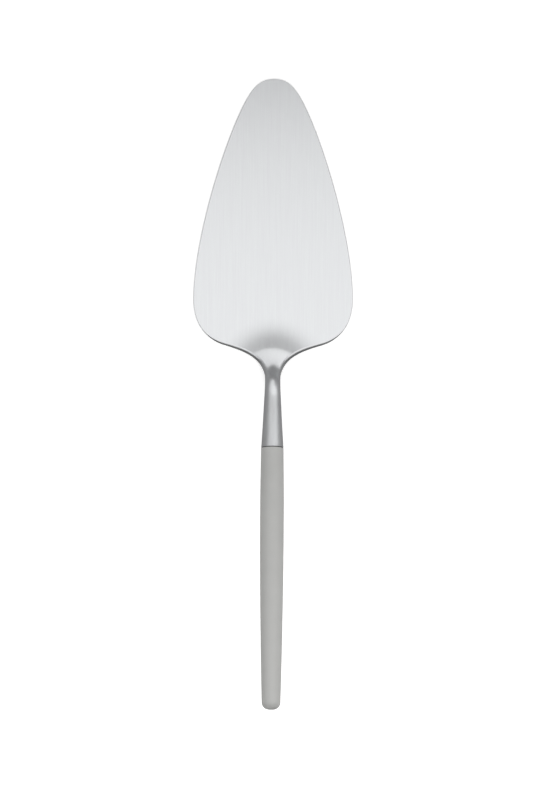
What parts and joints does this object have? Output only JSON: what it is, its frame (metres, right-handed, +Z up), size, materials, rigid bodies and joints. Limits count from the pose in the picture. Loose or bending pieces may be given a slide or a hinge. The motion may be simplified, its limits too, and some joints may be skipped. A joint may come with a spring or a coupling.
{
  "type": "cake server",
  "caption": "Cake server with a flat leaf-shaped steel blade, a cranked neck that flares into a cone, and a slim round matte grey handle.",
  "frame": {"origin": "on the plane of the blade's underside, under the middle of the server's whole length and width", "axes": "+Y along the server to the blade's tip, +Z up out of the blade's top face, X across the blade"},
  "size_m": [0.0658, 0.26, 0.0351],
  "materials": {
    "blade_steel": "satin stainless steel, fine lengthwise grain",
    "tang_steel": "turned stainless rod, hidden",
    "ring_rubber": "dark, matte",
    "cured_epoxy": "cured adhesive, hidden",
    "handle_resin": "moulded resin, matte warm grey"
  },
  "bodies": {
    "root": {"blade": "blade_steel", "tang": "tang_steel", "seam_ring": "ring_rubber", "adhesive": "cured_epoxy", "handle": "handle_resin"}
  },
  "joints": []
}
